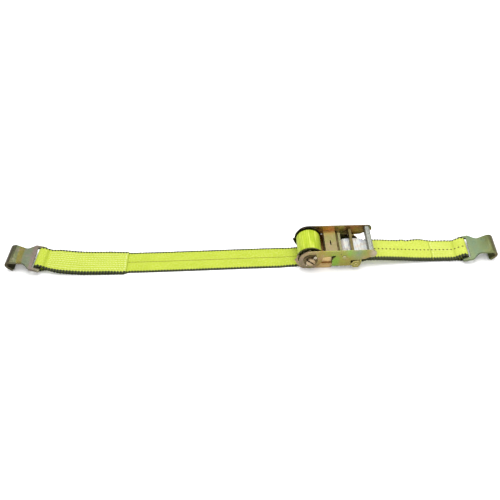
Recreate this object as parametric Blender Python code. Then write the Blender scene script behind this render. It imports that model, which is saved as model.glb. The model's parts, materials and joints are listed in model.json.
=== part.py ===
"""Ratchet tie down: a two inch strap ratchet with a flat hook on each end, closed and laid out flat.

The long strap runs along -X and the short strap along +X. The ratchet's drum axis is along Y.
Outlines are written in millimetres from the drum's axis, with x to the right and z up.
"""

from math import asin, atan2, ceil, cos, degrees, pi, radians, sin, sqrt

import bmesh
import bpy
from mathutils import Matrix, Vector
from mathutils.geometry import tessellate_polygon

MM = 0.001
SHARP = 35  # degrees: an edge sharper than this is shaded as an edge

# Places, in millimetres
DRUM_X = 107.2  # the drum's axis from the middle of the whole length
DRUM_Z = 28.0  # the drum's axis above the floor
BOLT = (87.0, -12.5)  # the anchor bolt's axis from the drum's axis
LEFT_END = -579.7  # the outer bend of each hook from the drum's axis
RIGHT_END = 365.3
GAP = 0.3  # between pieces that touch

# Webbing
WEB_WIDTH = 50.0
WEB = 2.6
PLY = WEB / 2 + 0.15  # from the middle of a doubled strap to the middle of either layer
ROLL_R = 23.0
LONG_LAP_END = -351.0  # where the long strap's folded end stops
LAP_SLACK = 0.9  # half the looseness between the folded layers
LAP_START = -425.0  # where the long strap starts to rise to its hook
SHORT_LAP_END = 240.0  # where the short strap's two ends meet on its top
SAG_Z = 4.2  # the middle of the doubled short strap where it hangs lowest
LABEL_END = 121.0

# How far the straps wander sideways: (x from the drum, y, slope), joined by smooth curves
WANDER = [(-495.0, 2.6, -0.063), (-430.0, -1.2, -0.04), (-320.0, -2.9, 0.0), (-60.0, -0.7, 0.0),
          (-30.0, -0.7, 0.0), (0.0, 0.0, 0.0), (125.0, 0.0, 0.0), (280.0, 2.6, -0.044)]
LEFT_YAW, RIGHT_YAW = atan2(-0.063, 1), atan2(-0.044, 1)

# Layers across the ratchet, as distances from its middle plane
FRAME_IN, FRAME_OUT = 26.8, 29.3
WHEEL_IN, WHEEL_OUT = 29.6, 32.6
HANDLE_IN, HANDLE_OUT = 32.9, 35.4
WASHER_IN, WASHER_OUT = 35.7, 36.9
COTTER_Y = 38.4
SHAFT_END = 41.2

# Drum
SHAFT_R = 8.6
SHAFT_SLOT = 3.2  # between the two half shafts, for the webbing
SHAFT_TURN = radians(-41)
BORE_R = SHAFT_R + 0.35
WHEEL_R, WHEEL_ROOT_R, TEETH = 23.5, 19.0, 12
TOOTH_FACE = radians(-30.3)  # the steep face that the lock pawl holds
TOOTH_TIP, TOOTH_BACK = radians(7), radians(12)

# Frame
FRAME_R, EAR_R, FOOT_Z = 26.0, 12.2, 27.7
BOLT_R, SLEEVE_R, NUT_FLATS, NUT_THICK = 4.0, 6.2, 17.0, 7.6

# Pawls, with their travel of 6 mm to the right
PAWL = 3.2
LOCK_Z, DRIVE_Z = -13.9, 7.1
LOCK_NOSE, DRIVE_NOSE = 16.3, 24.2
PAWL_HALF = 32.5
FLANGE_IN = 29.9

# Handle
EYE_R, HANDLE_TOP = 22.0, 22.0
BRIDGE = (30.0, 52.5)
BRIDGE_Z = (9.5, 11.5)
LIP = (56.8, 61.2)
PULL_BAR = (77.8, 82.8)
GRIP = (114.1, 13.2)
RIVET = (63.8, 6.0)

# Flat hooks, along u from the middle of the rear bar to the outer bend
HOOK_PLATE = 5.0
HOOK_LENGTH = 61.75
HOOK_BAR = 8.5
HOOK_SLOT = 7.0
HOOK_SLOT_HALF = 26.2
HOOK_SHOULDER, HOOK_NECK, HOOK_THROAT = 31.5, 18.2, 22.8
HOOK_BEND_R = 8.5
HOOK_BEND = radians(148)
HOOK_RETURN = 10.75
LEFT_TILT, RIGHT_TILT = radians(14), radians(17)
LOOP_R = sqrt(HOOK_BAR**2 + HOOK_PLATE**2) / 2 + 0.7 + WEB / 2


# ---------------------------------------------------------------- outlines


def arc(centre, radius, start, end, step=7.5):
    """Points on an arc, from one angle to another in degrees."""
    count = max(2, ceil(abs(end - start) / step))
    angles = [radians(start + (end - start) * i / count) for i in range(count + 1)]
    return [(centre[0] + radius * cos(a), centre[1] + radius * sin(a)) for a in angles]


def circle(centre, radius, count=36):
    return arc(centre, radius, 0, 360, 360 / count)[:-1]


def rounded(corners, step=18):
    """An outline through corners (x, z, radius), each rounded by its radius."""
    points = []
    for i, (x, z, radius) in enumerate(corners):
        here = Vector((x, z))
        back = (Vector(corners[i - 1][:2]) - here).normalized()
        ahead = (Vector(corners[(i + 1) % len(corners)][:2]) - here).normalized()
        if radius == 0:
            points.append((x, z))
            continue
        half = back.angle(ahead) / 2
        centre = here + (back + ahead).normalized() * radius / sin(half)
        reach = radius / (sin(half) / cos(half))
        first, last = here + back * reach - centre, here + ahead * reach - centre
        start = degrees(atan2(first.y, first.x))
        turn = degrees(atan2(first.x * last.y - first.y * last.x, first.dot(last)))
        points += arc(centre, radius, start, start + turn, step)
    return points


def rectangle(x0, x1, z0, z1, radius=0.0):
    return rounded([(x0, z0, radius), (x1, z0, radius), (x1, z1, radius), (x0, z1, radius)])


def turned(points, angle):
    c, s = cos(angle), sin(angle)
    return [(c * x - s * z, s * x + c * z) for x, z in points]


def half_disc(radius, floor, side):
    """The part of a disc beyond a chord at this height, above it or below it."""
    start = degrees(asin(floor / radius))
    points = arc((0, 0), radius, start, 180 - start, 9)
    return points if side > 0 else [(-x, -z) for x, z in points]


# ------------------------------------------------------------------ solids


def finished(mesh, name, material, at, parent, chamfer=0.0):
    """A named object with its origin at a point in millimetres."""
    obj = bpy.data.objects.new(name, mesh)
    bpy.context.collection.objects.link(obj)
    mesh.materials.append(material)
    mesh.shade_smooth()
    mesh.set_sharp_from_angle(angle=radians(SHARP))
    obj.location = Vector(at) * MM
    obj.parent = parent
    obj.matrix_parent_inverse = Matrix.Translation(-parent.location)
    if chamfer:
        edges = obj.modifiers.new("chamfered_edges", "BEVEL")
        edges.width = chamfer * MM
        edges.segments = 1
        edges.limit_method = "ANGLE"
        edges.angle_limit = radians(SHARP)
    return obj


def outward_mesh(name, bm):
    """The mesh of a closed form, with its faces turned outwards."""
    bmesh.ops.recalc_face_normals(bm, faces=bm.faces)
    if bm.calc_volume(signed=True) < 0:
        bmesh.ops.reverse_faces(bm, faces=bm.faces)
    mesh = bpy.data.meshes.new(name)
    bm.to_mesh(mesh)
    bm.free()
    return mesh


def prism_mesh(name, outline, low, high, holes=(), place=lambda a, b, c: (a, c, b), cuts=()):
    """A closed prism over a flat outline with holes. place turns (a, b, height) into x, y, z."""
    bm = bmesh.new()
    loops = [list(outline)] + [list(hole) for hole in holes]
    flat = [[Vector((a, b, 0)) for a, b in loop] for loop in loops]
    both = [[bm.verts.new((a, b, c)) for loop in loops for a, b in loop] for c in (low, high)]
    for corners in tessellate_polygon(flat):
        bm.faces.new([both[0][i] for i in corners])
        bm.faces.new([both[1][i] for i in reversed(corners)])
    start = 0
    for loop in loops:
        for i in range(len(loop)):
            j = (i + 1) % len(loop)
            bm.faces.new([both[c][start + k] for c, k in ((0, i), (0, j), (1, j), (1, i))])
        start += len(loop)
    bmesh.ops.dissolve_limit(bm, angle_limit=radians(0.5), verts=bm.verts, edges=bm.edges)
    for a in cuts:
        geometry = bm.verts[:] + bm.edges[:] + bm.faces[:]
        bmesh.ops.bisect_plane(bm, geom=geometry, plane_co=(a, 0, 0), plane_no=(1, 0, 0))
    for vert in bm.verts:
        vert.co = Vector(place(*vert.co)) * MM
    return outward_mesh(name, bm)


def side_plate(name, outline, side, inner, outer, holes, material, parent):
    """A plate in the XZ plane, between two distances from the middle plane."""
    low, high = sorted((side * inner, side * outer))
    mesh = prism_mesh(name, outline, low, high, holes)
    return finished(mesh, name, material, drum_at, parent)


def flat_plate(name, outline, low, high, holes, material, parent):
    """A level plate: its outline is (x, y), and it spans two heights."""
    mesh = prism_mesh(name, outline, low, high, holes, place=lambda a, b, c: (a, b, c))
    return finished(mesh, name, material, drum_at, parent)


def turned_mesh(name, profile, count=32):
    """A solid turned about the Y axis: profile is (radius, y), from one end's middle to the other's."""
    bm = bmesh.new()
    rings = []
    for radius, y in profile:
        if radius == 0:
            rings.append([bm.verts.new((0, y * MM, 0))])
            continue
        angles = [2 * pi * i / count for i in range(count)]
        rings.append([bm.verts.new((radius * MM * cos(a), y * MM, radius * MM * sin(a))) for a in angles])
    closed = profile[0][0] > 0
    pairs = list(zip(rings, rings[1:])) + ([(rings[-1], rings[0])] if closed else [])
    for first, second in pairs:
        for i in range(count):
            j = (i + 1) % count
            corners = [first[i % len(first)], first[j % len(first)]]
            corners += [second[j % len(second)], second[i % len(second)]]
            bm.faces.new(list(dict.fromkeys(corners)))
    return outward_mesh(name, bm)


def tube(name, points, radius, material, at, parent, closed_ends=True, sides=3):
    """A round wire through points in millimetres from a place."""
    curve = bpy.data.curves.new(name, "CURVE")
    curve.dimensions = "3D"
    curve.bevel_depth = radius * MM
    curve.bevel_resolution = sides
    curve.use_fill_caps = closed_ends
    spline = curve.splines.new("POLY")
    spline.points.add(len(points) - 1)
    for point, co in zip(spline.points, points):
        point.co = (*(Vector(co) * MM), 1)
    obj = bpy.data.objects.new(name, curve)
    bpy.context.collection.objects.link(obj)
    curve.materials.append(material)
    obj.location = Vector(at) * MM
    obj.parent = parent
    obj.matrix_parent_inverse = Matrix.Translation(-parent.location)
    return obj


def boolean(obj, cutter_mesh, operation, name):
    """Cuts or joins a mesh given in the object's own coordinates."""
    tool = bpy.data.objects.new(name, cutter_mesh)
    bpy.context.collection.objects.link(tool)
    tool.location = obj.location
    tool.hide_render = True
    tool.display_type = "WIRE"
    step = obj.modifiers.new(name, "BOOLEAN")
    step.object = tool
    step.operation = operation
    step.solver = "EXACT"
    obj.modifiers.move(len(obj.modifiers) - 1, 0)


def bar_mesh(name, x0, x1, y0, y1, z0, z1):
    return prism_mesh(name, rectangle(x0, x1, y0, y1), z0, z1, place=lambda a, b, c: (a, b, c))


def wander(x):
    """How far a strap lies to the side at a distance along it, and its slope there."""
    if x <= WANDER[0][0] or x >= WANDER[-1][0]:
        at, y, slope = WANDER[0] if x <= WANDER[0][0] else WANDER[-1]
        return y + slope * (x - at), slope
    i = max(k for k, knot in enumerate(WANDER) if knot[0] <= x)
    (x0, y0, m0), (x1, y1, m1) = WANDER[i], WANDER[i + 1]
    h, t = x1 - x0, (x - x0) / (x1 - x0)
    y = (1 + 2 * t) * (1 - t) ** 2 * y0 + t * (1 - t) ** 2 * h * m0
    y += t * t * (3 - 2 * t) * y1 + t * t * (t - 1) * h * m1
    slope = 6 * t * (1 - t) * (y1 - y0) / h + (1 - t) * (1 - 3 * t) * m0 + t * (3 * t - 2) * m1
    return y, slope


def ribbon(name, path, material, at, parent, thickness=WEB, width=WEB_WIDTH):
    """A strip of webbing of one thickness along a path of (x, z) points, wandering to the side."""
    bm = bmesh.new()
    points = [Vector(p) for p in path]
    rings = []
    for i, here in enumerate(points):
        along = (points[min(i + 1, len(points) - 1)] - points[max(i - 1, 0)]).normalized()
        side = Vector((-along.y, along.x)) * thickness / 2
        ring = []
        for layer, y in ((1, -width / 2), (1, width / 2), (-1, width / 2), (-1, -width / 2)):
            corner = here + side * layer
            shift, slope = wander(corner.x)
            ring.append(bm.verts.new(Vector((corner.x - slope * y, shift + y, corner.y)) * MM))
        rings.append(ring)
    for first, second in zip(rings, rings[1:]):
        for k in range(4):
            bm.faces.new([first[k], first[(k + 1) % 4], second[(k + 1) % 4], second[k]])
    bm.faces.new(rings[0])
    bm.faces.new(rings[-1])
    return finished(outward_mesh(name, bm), name, material, at, parent)


# --------------------------------------------------------------- materials


def paint(name, colour, metallic, roughness):
    material = bpy.data.materials.new(name)
    material.use_nodes = True
    shader = material.node_tree.nodes["Principled BSDF"]
    shader.inputs["Base Color"].default_value = (*colour, 1)
    shader.inputs["Metallic"].default_value = metallic
    shader.inputs["Roughness"].default_value = roughness
    return material


def frame_group(name, at):
    empty = bpy.data.objects.new(name, None)
    bpy.context.collection.objects.link(empty)
    empty.location = Vector(at) * MM
    return empty


# ------------------------------------------------------------------- frame


def frame_outline():
    """A disc round the drum with a pointed tail, a flat foot, and an ear round the anchor bolt."""
    rim = arc((0, 0), FRAME_R, 10, 184, 6)
    tail = [(-29.4, -4.3), (-24.6, -15.5), (-19.5, -23.0)]
    foot = rounded([
        (-19.5, -23.0, 0), (-13.0, -FOOT_Z, 4), (40.5, -FOOT_Z, 2), (44.5, -22.0, 3), (70.0, -22.0, 5),
        (BOLT[0], BOLT[1] - EAR_R, 0),
    ])
    ear = arc(BOLT, EAR_R, -90, 84, 10)
    return rim + tail + foot[1:-1] + ear + [(62, 1.6), (46, 4.4), (30, 4.7)]


def frame_parts(root):
    slot = rectangle(LOCK_NOSE - 0.8, 51.5, LOCK_Z - PAWL / 2 - 0.4, LOCK_Z + PAWL / 2 + 0.4, 1.0)
    holes = [circle((0, 0), BORE_R), slot, circle(BOLT, BOLT_R + 0.3, 24)]
    for name, side in (("frame_side_near", -1), ("frame_side_far", 1)):
        side_plate(name, frame_outline(), side, FRAME_IN, FRAME_OUT, holes, zinc, root)

    base = rectangle(20, 58, -FRAME_IN + GAP, FRAME_IN - GAP, 1.5)
    plate = flat_plate("frame_base", base, -24.5, -22.1, [], zinc, root)
    boolean(plate, bar_mesh("spring_stop", 42.5, 44.5, -3.5, 3.5, -23.3, -11.0), "UNION", "lock_spring_stop")

    hex_r = NUT_FLATS / 2 / cos(radians(30))
    at = (drum_at[0] + BOLT[0], 0, drum_at[2] + BOLT[1])
    end = -FRAME_OUT - GAP - NUT_THICK - 1.2
    shank = [(0, end), (3.4, end), (BOLT_R, end + 0.6), (BOLT_R, FRAME_OUT + 0.4), (0, FRAME_OUT + 0.4)]
    bolt = finished(turned_mesh("anchor_bolt", shank, 24), "anchor_bolt", zinc, at, root)
    head = prism_mesh("head", circle((0, 0), hex_r, 6), FRAME_OUT + GAP, FRAME_OUT + GAP + 5.5)
    boolean(bolt, head, "UNION", "anchor_bolt_head")
    nut_inner, nut_hole = -FRAME_OUT - GAP, circle((0, 0), BOLT_R + GAP, 24)
    nut = prism_mesh("anchor_nut", circle((0, 0), hex_r, 6), nut_inner - NUT_THICK, nut_inner, [nut_hole])
    finished(nut, "anchor_nut", zinc, at, root)
    sleeve = FRAME_IN - GAP
    ring = [(BOLT_R + GAP, -sleeve), (SLEEVE_R, -sleeve), (SLEEVE_R, sleeve), (BOLT_R + GAP, sleeve)]
    finished(turned_mesh("anchor_sleeve", ring), "anchor_sleeve", zinc, at, root)


# -------------------------------------------------------------------- drum


def wheel_outline():
    """A ratchet wheel: each tooth has a steep face and a sloping back."""
    points = []
    pitch = 2 * pi / TEETH
    for i in range(TEETH):
        face = TOOTH_FACE + i * pitch
        for angle, radius in (
            (0, WHEEL_ROOT_R),
            (radians(0.8), WHEEL_R),
            (TOOTH_TIP, WHEEL_R),
            (TOOTH_TIP + TOOTH_BACK * 0.6, (WHEEL_R + WHEEL_ROOT_R) / 2 - 0.6),
            (TOOTH_TIP + TOOTH_BACK, WHEEL_ROOT_R),
        ):
            points.append((radius * cos(face + angle), radius * sin(face + angle)))
    return points


def shaft_holes():
    half = SHAFT_SLOT / 2 - GAP
    return [turned(half_disc(BORE_R, half, side), SHAFT_TURN) for side in (1, -1)]


def drum_parts(drum):
    for name, side in (("drum_shaft_upper", 1), ("drum_shaft_lower", -1)):
        outline = turned(half_disc(SHAFT_R, SHAFT_SLOT / 2, side), SHAFT_TURN)
        mesh = prism_mesh(name, outline, -SHAFT_END, SHAFT_END)
        shaft = finished(mesh, name, bright, drum_at, drum, 0.6)
        for end in (-1, 1):
            hole = turned_mesh("hole", [(0, -14), (1.5, -14), (1.5, 14), (0, 14)], 12)
            turn = Matrix.Rotation(-SHAFT_TURN, 4, "Y") @ Matrix.Rotation(pi / 2, 4, "X")
            hole.transform(Matrix.Translation((0, end * COTTER_Y * MM, 0)) @ turn)
            boolean(shaft, hole, "DIFFERENCE", f"{name}_cotter_hole")

    for name, side in (("ratchet_wheel_near", -1), ("ratchet_wheel_far", 1)):
        side_plate(name, wheel_outline(), side, WHEEL_IN, WHEEL_OUT, shaft_holes(), wheel_steel, drum)

    for name, side in (("hub_washer_near", -1), ("hub_washer_far", 1)):
        ring = [circle((0, 0), BORE_R)]
        side_plate(name, circle((0, 0), 13.5), side, WASHER_IN, WASHER_OUT, ring, bright, drum)

    for name, side in (("cotter_pin_near", -1), ("cotter_pin_far", 1)):
        cotter_pin(name, side * COTTER_Y, drum)

    roll = prism_mesh("webbing_roll", circle((0, 0), ROLL_R, 60), -WEB_WIDTH / 2, WEB_WIDTH / 2, shaft_holes())
    finished(roll, "webbing_roll", webbing, drum_at, drum)


def cotter_pin(name, y, drum):
    """A split pin across both half shafts: an eye at the top, and its end bent over below."""
    eye = [(2.2 * sin(radians(a)), 12.6 - 2.2 * cos(radians(a))) for a in range(20, 331, 31)]
    path = [(1.2, -12.6), (0.4, -11.6), (0, -10.4), (0, 0), (0, 10.4)] + eye
    points = [(x, y, z) for x, z in turned(path, SHAFT_TURN)]
    tube(name, points, 0.95, bright, drum_at, drum, sides=1)


# ------------------------------------------------------------------- pawls


def spring(name, x0, x1, z, parent, turns=6, radius=2.6, wire=0.5):
    """A compression spring along X."""
    count = turns * 10
    points = []
    for i in range(count + 1):
        angle = 2 * pi * turns * i / count
        x = x0 + wire + (x1 - x0 - 2 * wire) * i / count
        points.append((x, radius * cos(angle), z + radius * sin(angle)))
    tube(name, points, wire, bright, drum_at, parent, sides=0)


def lock_pawl_part(pawl, root):
    inner, wing = FRAME_IN - GAP, PAWL_HALF
    outline = [(49, -22), (49, 22), (44, 24), (44, wing), (LOCK_NOSE, wing), (LOCK_NOSE, inner)]
    outline += [(23.5, inner - 0.6), (23.5, -inner + 0.6), (LOCK_NOSE, -inner)]
    outline += [(LOCK_NOSE, -wing), (44, -wing), (44, -24)]
    slot = rectangle(28.0, 45.0, -4.2, 4.2)
    low, high = LOCK_Z - PAWL / 2, LOCK_Z + PAWL / 2
    flat_plate("lock_pawl", outline, low, high, [slot], zinc_dark, pawl)
    spring("lock_spring", 28.4, 42.1, LOCK_Z, root)


def drive_pawl_part(pawl, handle):
    wing, inside = PAWL_HALF, WHEEL_IN
    outline = [(PULL_BAR[1], -FLANGE_IN - 0.3), (PULL_BAR[1], FLANGE_IN + 0.3), (50.0, FLANGE_IN + 0.3)]
    outline += [(50.0, wing), (DRIVE_NOSE, wing), (DRIVE_NOSE, inside), (28.0, inside - 0.8)]
    outline += [(28.0, -inside + 0.8), (DRIVE_NOSE, -inside), (DRIVE_NOSE, -wing)]
    outline += [(50.0, -wing), (50.0, -FLANGE_IN - 0.3)]
    window = rectangle(LIP[1], PULL_BAR[0], -26, 26, 1.5)
    slot = rectangle(34.0, 53.5, -4.0, 4.0)
    low, high = DRIVE_Z - PAWL / 2, DRIVE_Z + PAWL / 2
    plate = flat_plate("drive_pawl", outline, low, high, [window, slot], zinc, pawl)
    for name, (x0, x1), half, top in (("lip", LIP, 26, 11.2), ("pull", PULL_BAR, 32, 16.5)):
        boolean(plate, bar_mesh(name, x0, x1, -half, half, DRIVE_Z, top), "UNION", f"drive_{name}")
    for side in (-1, 1):
        low_y, high_y = sorted((side * FLANGE_IN, side * (wing - 0.02)))
        slide_slot = rectangle(RIVET[0] - 8.6, RIVET[0] + 2.6, RIVET[1] - 2.5, RIVET[1] + 2.5)
        flange_outline = rectangle(53.0, PULL_BAR[1] - 0.02, 1.5, 10.6, 1.5)
        flange = prism_mesh("flange", flange_outline, low_y, high_y, [slide_slot])
        boolean(plate, flange, "UNION", "drive_flange_near" if side < 0 else "drive_flange_far")
    spring("drive_spring", 34.4, 49.4, DRIVE_Z, handle, radius=1.7, wire=0.4)


# ------------------------------------------------------------------ handle


def handle_outline():
    eye = arc((0, 0), EYE_R, 90, 354, 7.5)
    end = arc((GRIP[0] + 1.9, GRIP[1]), HANDLE_TOP - GRIP[1], -90, 90, 12)
    under = rounded([
        (EYE_R * cos(radians(-6)), EYE_R * sin(radians(-6)), 0),
        (23.6, 6.4, 2), (49.0, 11.0, 1.2), (41.0, -1.5, 4), (41.0, -17.8, 3), (76.7, -17.8, 2),
        (76.7, -3.4, 1.5), (104.0, -0.6, 4), (111.0, 3.6, 3), (end[0][0], end[0][1], 0),
    ])
    return eye + under[1:-1] + end


def handle_parts(handle):
    holes = [circle((0, 0), BORE_R), circle(RIVET, 2.3, 16), circle((57.7, 13.6), 1.2, 10)]
    for name, side in (("handle_side_near", -1), ("handle_side_far", 1)):
        side_plate(name, handle_outline(), side, HANDLE_IN, HANDLE_OUT, holes, zinc, handle)

    half = HANDLE_IN - GAP
    keyhole = arc((40.9, -5.0), 1.8, 150, 390, 20) + [(41.7, 6.5), (40.1, 6.5)]
    deck = rectangle(*BRIDGE, -half, half)
    bridge = flat_plate("handle_bridge", deck, *BRIDGE_Z, [keyhole], zinc_tan, handle)
    boolean(bridge, bar_mesh("tab", 49.7, 51.3, -3.0, 3.0, 4.2, BRIDGE_Z[1] - 0.5), "UNION", "drive_spring_stop")

    section = rounded([
        (GRIP[0] - 5.5, GRIP[1] - 7.0, 4), (GRIP[0] + 5.5, GRIP[1] - 7.0, 4),
        (GRIP[0] + 5.5, GRIP[1] + 7.6, 4), (GRIP[0] - 5.5, GRIP[1] + 7.6, 4),
    ])
    grip = prism_mesh("handle_grip", section, -half, half)
    finished(grip, "handle_grip", grip_steel, drum_at, handle, 0.8)

    at = (drum_at[0] + RIVET[0], 0, drum_at[2] + RIVET[1])
    for name, side in (("guide_rivet_near", -1), ("guide_rivet_far", 1)):
        profile = [(0, 30.6), (2.0, 30.6), (2.0, 35.7), (4.0, 35.7), (3.5, 36.7), (2.0, 37.4), (0, 37.6)]
        mesh = turned_mesh(name, [(r, side * y) for r, y in profile], 20)
        finished(mesh, name, bright, at, handle)


# ------------------------------------------------------------------- hooks


def hook_bend(u, v, w):
    """Bends a flat blank, u along it and w its height, into the hook's rolled end."""
    start = HOOK_LENGTH - HOOK_BEND_R - HOOK_PLATE / 2
    past = u - start
    if past <= 0:
        return u, v, w
    turn = min(past / HOOK_BEND_R, HOOK_BEND)
    rest = past - turn * HOOK_BEND_R
    radius = HOOK_BEND_R + w
    x = start + radius * sin(turn) + rest * cos(turn)
    z = -HOOK_BEND_R + radius * cos(turn) - rest * sin(turn)
    return x, v, z


def hook_mesh(name):
    start = HOOK_LENGTH - HOOK_BEND_R - HOOK_PLATE / 2
    end = start + HOOK_BEND_R * HOOK_BEND + HOOK_RETURN
    half = [
        (-HOOK_BAR / 2, HOOK_SHOULDER, 2), (15.2, HOOK_SHOULDER, 3), (29.0, HOOK_NECK, 9),
        (50.0, HOOK_THROAT, 12), (end, HOOK_THROAT - 0.5, 2),
    ]
    corners = half + [(u, -v, r) for u, v, r in reversed(half)]
    slot = rectangle(HOOK_BAR / 2, HOOK_BAR / 2 + HOOK_SLOT, -HOOK_SLOT_HALF, HOOK_SLOT_HALF, 1.5)
    outline = rounded(corners[::-1], 12)
    bends = [start + HOOK_BEND_R * HOOK_BEND * i / 16 for i in range(17)]
    return prism_mesh(name, outline, -HOOK_PLATE / 2, HOOK_PLATE / 2, [slot], hook_bend, bends)


def place_hook(name, heading, tilt, yaw, end, parent_name):
    """A hook along -X or +X, its plate rising to the bend, and its rolled tip on the floor."""
    mesh = hook_mesh(name)
    mesh.transform(Matrix.Rotation(-tilt, 4, "Y"))
    low = min(v.co.z for v in mesh.vertices)
    reach = max(v.co.x for v in mesh.vertices)
    mesh.transform(Matrix.Rotation(yaw + (pi if heading < 0 else 0), 4, "Z"))
    x = end - heading * reach / MM
    at = (DRUM_X + x, wander(x)[0], -low / MM)
    group = frame_group(parent_name, at)
    finished(mesh, name, hook_steel, at, group)
    return at


# ------------------------------------------------------------------ straps


def smooth(t):
    t = min(max(t, 0), 1)
    return t * t * (3 - 2 * t)


def frange(start, end, step):
    count = max(1, ceil(abs(end - start) / step))
    return [start + (end - start) * i / count for i in range(count + 1)]


def long_strap_part(bar, group):
    """One strip: under the roll, along the floor, round the hook's bar and back on its own top."""
    bar_x, bar_z = bar[0] - DRUM_X, bar[2]
    rise = LAP_START - bar_x

    def slack(x):
        return LAP_SLACK * smooth((x - bar_x - 15) / 25) * smooth((LONG_LAP_END - 6 - x) / 30)

    def middle(x):
        t = min(max((LAP_START - x) / rise, 0), 1)
        return WEB / 2 + PLY + slack(x) + (bar_z - WEB / 2 - PLY) * t * t * (2 - t)

    def spread(x):
        return PLY + slack(x) + (LOOP_R - PLY) * smooth((bar_x + 20 - x) / 20)

    under_roll = DRUM_Z - ROLL_R - 0.35 - WEB / 2
    lead = [(x, WEB / 2 + (under_roll - WEB / 2) * smooth((x + 60) / 56)) for x in frange(3, -60, 9)]
    run = [(x, WEB / 2) for x in frange(-60, LAP_START + 20, 15)[1:-1]]
    down = [(x, middle(x) - spread(x)) for x in frange(LAP_START + 20, bar_x, 6)]
    up = [(x, middle(x) + spread(x)) for x in frange(bar_x, LAP_START + 20, 6)]
    loop = arc((bar_x, bar_z), LOOP_R, 270, 90, 15)[1:-1]
    lap = [(x, middle(x) + spread(x)) for x in frange(LAP_START + 20, LONG_LAP_END, 9)[1:]]
    path = lead + run + down + loop + up + lap
    ribbon("long_strap", path, webbing, (DRUM_X, 0, 0), group)


def short_strap_part(bar, group):
    """One strip from a seam on its top, round the anchor bolt, round the hook's bar and back."""
    bar_x, bar_z = bar[0] - DRUM_X, bar[2]
    bolt_x, bolt_z = BOLT[0], DRUM_Z + BOLT[1]
    loop_x, loop_r = bolt_x - 15.0, SLEEVE_R + 0.5 + WEB / 2

    def middle(x):
        resting = bolt_z + (SAG_Z - bolt_z) * smooth((x - bolt_x - 30) / (SHORT_LAP_END - bolt_x - 20))
        return resting + (bar_z - SAG_Z) * smooth((x - bar_x + 24) / 24)

    def spread(x):
        near = (loop_r - PLY) * (1 - smooth((x - bolt_x - 5) / 22))
        far = (LOOP_R - PLY) * smooth((x - bar_x + 20) / 20)
        return PLY + near + far

    first = [(x, middle(x) + spread(x)) for x in frange(SHORT_LAP_END - 1.2, loop_x, 8)]
    bolt_loop = arc((loop_x, bolt_z), loop_r, 90, 270, 15)[1:-1]
    under = [(x, middle(x) - spread(x)) for x in frange(loop_x, bar_x, 6)]
    hook_loop = arc((bar_x, bar_z), LOOP_R, -90, 90, 15)[1:-1]
    last = [(x, middle(x) + spread(x)) for x in frange(bar_x, SHORT_LAP_END + 1.2, 6)]
    ribbon("short_strap", first + bolt_loop + under + hook_loop + last, webbing, (DRUM_X, 0, 0), group)

    lift = WEB / 2 + 0.35 + 0.3
    over = [(x, middle(x) + spread(x) + lift) for x in frange(LABEL_END, loop_x, 6)]
    wrap = arc((loop_x, bolt_z), loop_r + lift, 90, 170, 12)[1:]
    ribbon("strap_label", over + wrap, label_cloth, (DRUM_X, 0, 0), group, 0.6, 46.0)


# ------------------------------------------------------------------- build

for old in list(bpy.data.objects):
    bpy.data.objects.remove(old, do_unlink=True)

zinc = paint("yellow_zinc", (0.55, 0.50, 0.22), 0.9, 0.35)
zinc_tan = paint("yellow_zinc_tan", (0.58, 0.45, 0.30), 0.9, 0.4)
zinc_dark = paint("yellow_zinc_dark", (0.35, 0.24, 0.14), 0.9, 0.45)
wheel_steel = paint("dark_steel", (0.10, 0.09, 0.07), 0.8, 0.5)
bright = paint("bright_zinc", (0.60, 0.58, 0.50), 1.0, 0.3)
grip_steel = paint("grip_zinc", (0.50, 0.56, 0.50), 0.9, 0.3)
hook_steel = paint("hook_zinc", (0.35, 0.36, 0.24), 0.9, 0.4)
webbing = paint("webbing", (0.66, 0.86, 0.05), 0.0, 0.8)
label_cloth = paint("label", (0.85, 0.83, 0.88), 0.0, 0.7)

drum_at = (DRUM_X, 0, DRUM_Z)
root = frame_group("frame_root", drum_at)
drum = frame_group("drum_axis", drum_at)
handle = frame_group("handle_axis", drum_at)
drive = frame_group("drive_pawl_slide", drum_at)
lock = frame_group("lock_pawl_slide", drum_at)
long_axis = frame_group("long_strap_axis", drum_at)
short_axis = frame_group("short_strap_axis", (drum_at[0] + BOLT[0], 0, drum_at[2] + BOLT[1]))

frame_parts(root)
drum_parts(drum)
lock_pawl_part(lock, root)
drive_pawl_part(drive, handle)
handle_parts(handle)
left_bar = place_hook("left_hook", -1, LEFT_TILT, LEFT_YAW, LEFT_END, "left_hook_axis")
right_bar = place_hook("right_hook", 1, RIGHT_TILT, RIGHT_YAW, RIGHT_END, "right_hook_axis")
long_strap_part(left_bar, long_axis)
short_strap_part(right_bar, short_axis)
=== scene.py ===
"""Looks for the ratchet tie down: plated steel, woven straps, a plain floor and soft light.

Lengths in the shape functions are millimetres, with x measured from the drum's axis. Lengths in the
materials' nodes are metres, as Blender's coordinates are. Colours are 0-255 screen values.
"""

import json
from math import ceil, cos, hypot, pi, radians, sin

import bmesh
import bpy
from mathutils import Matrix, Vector, noise


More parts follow.
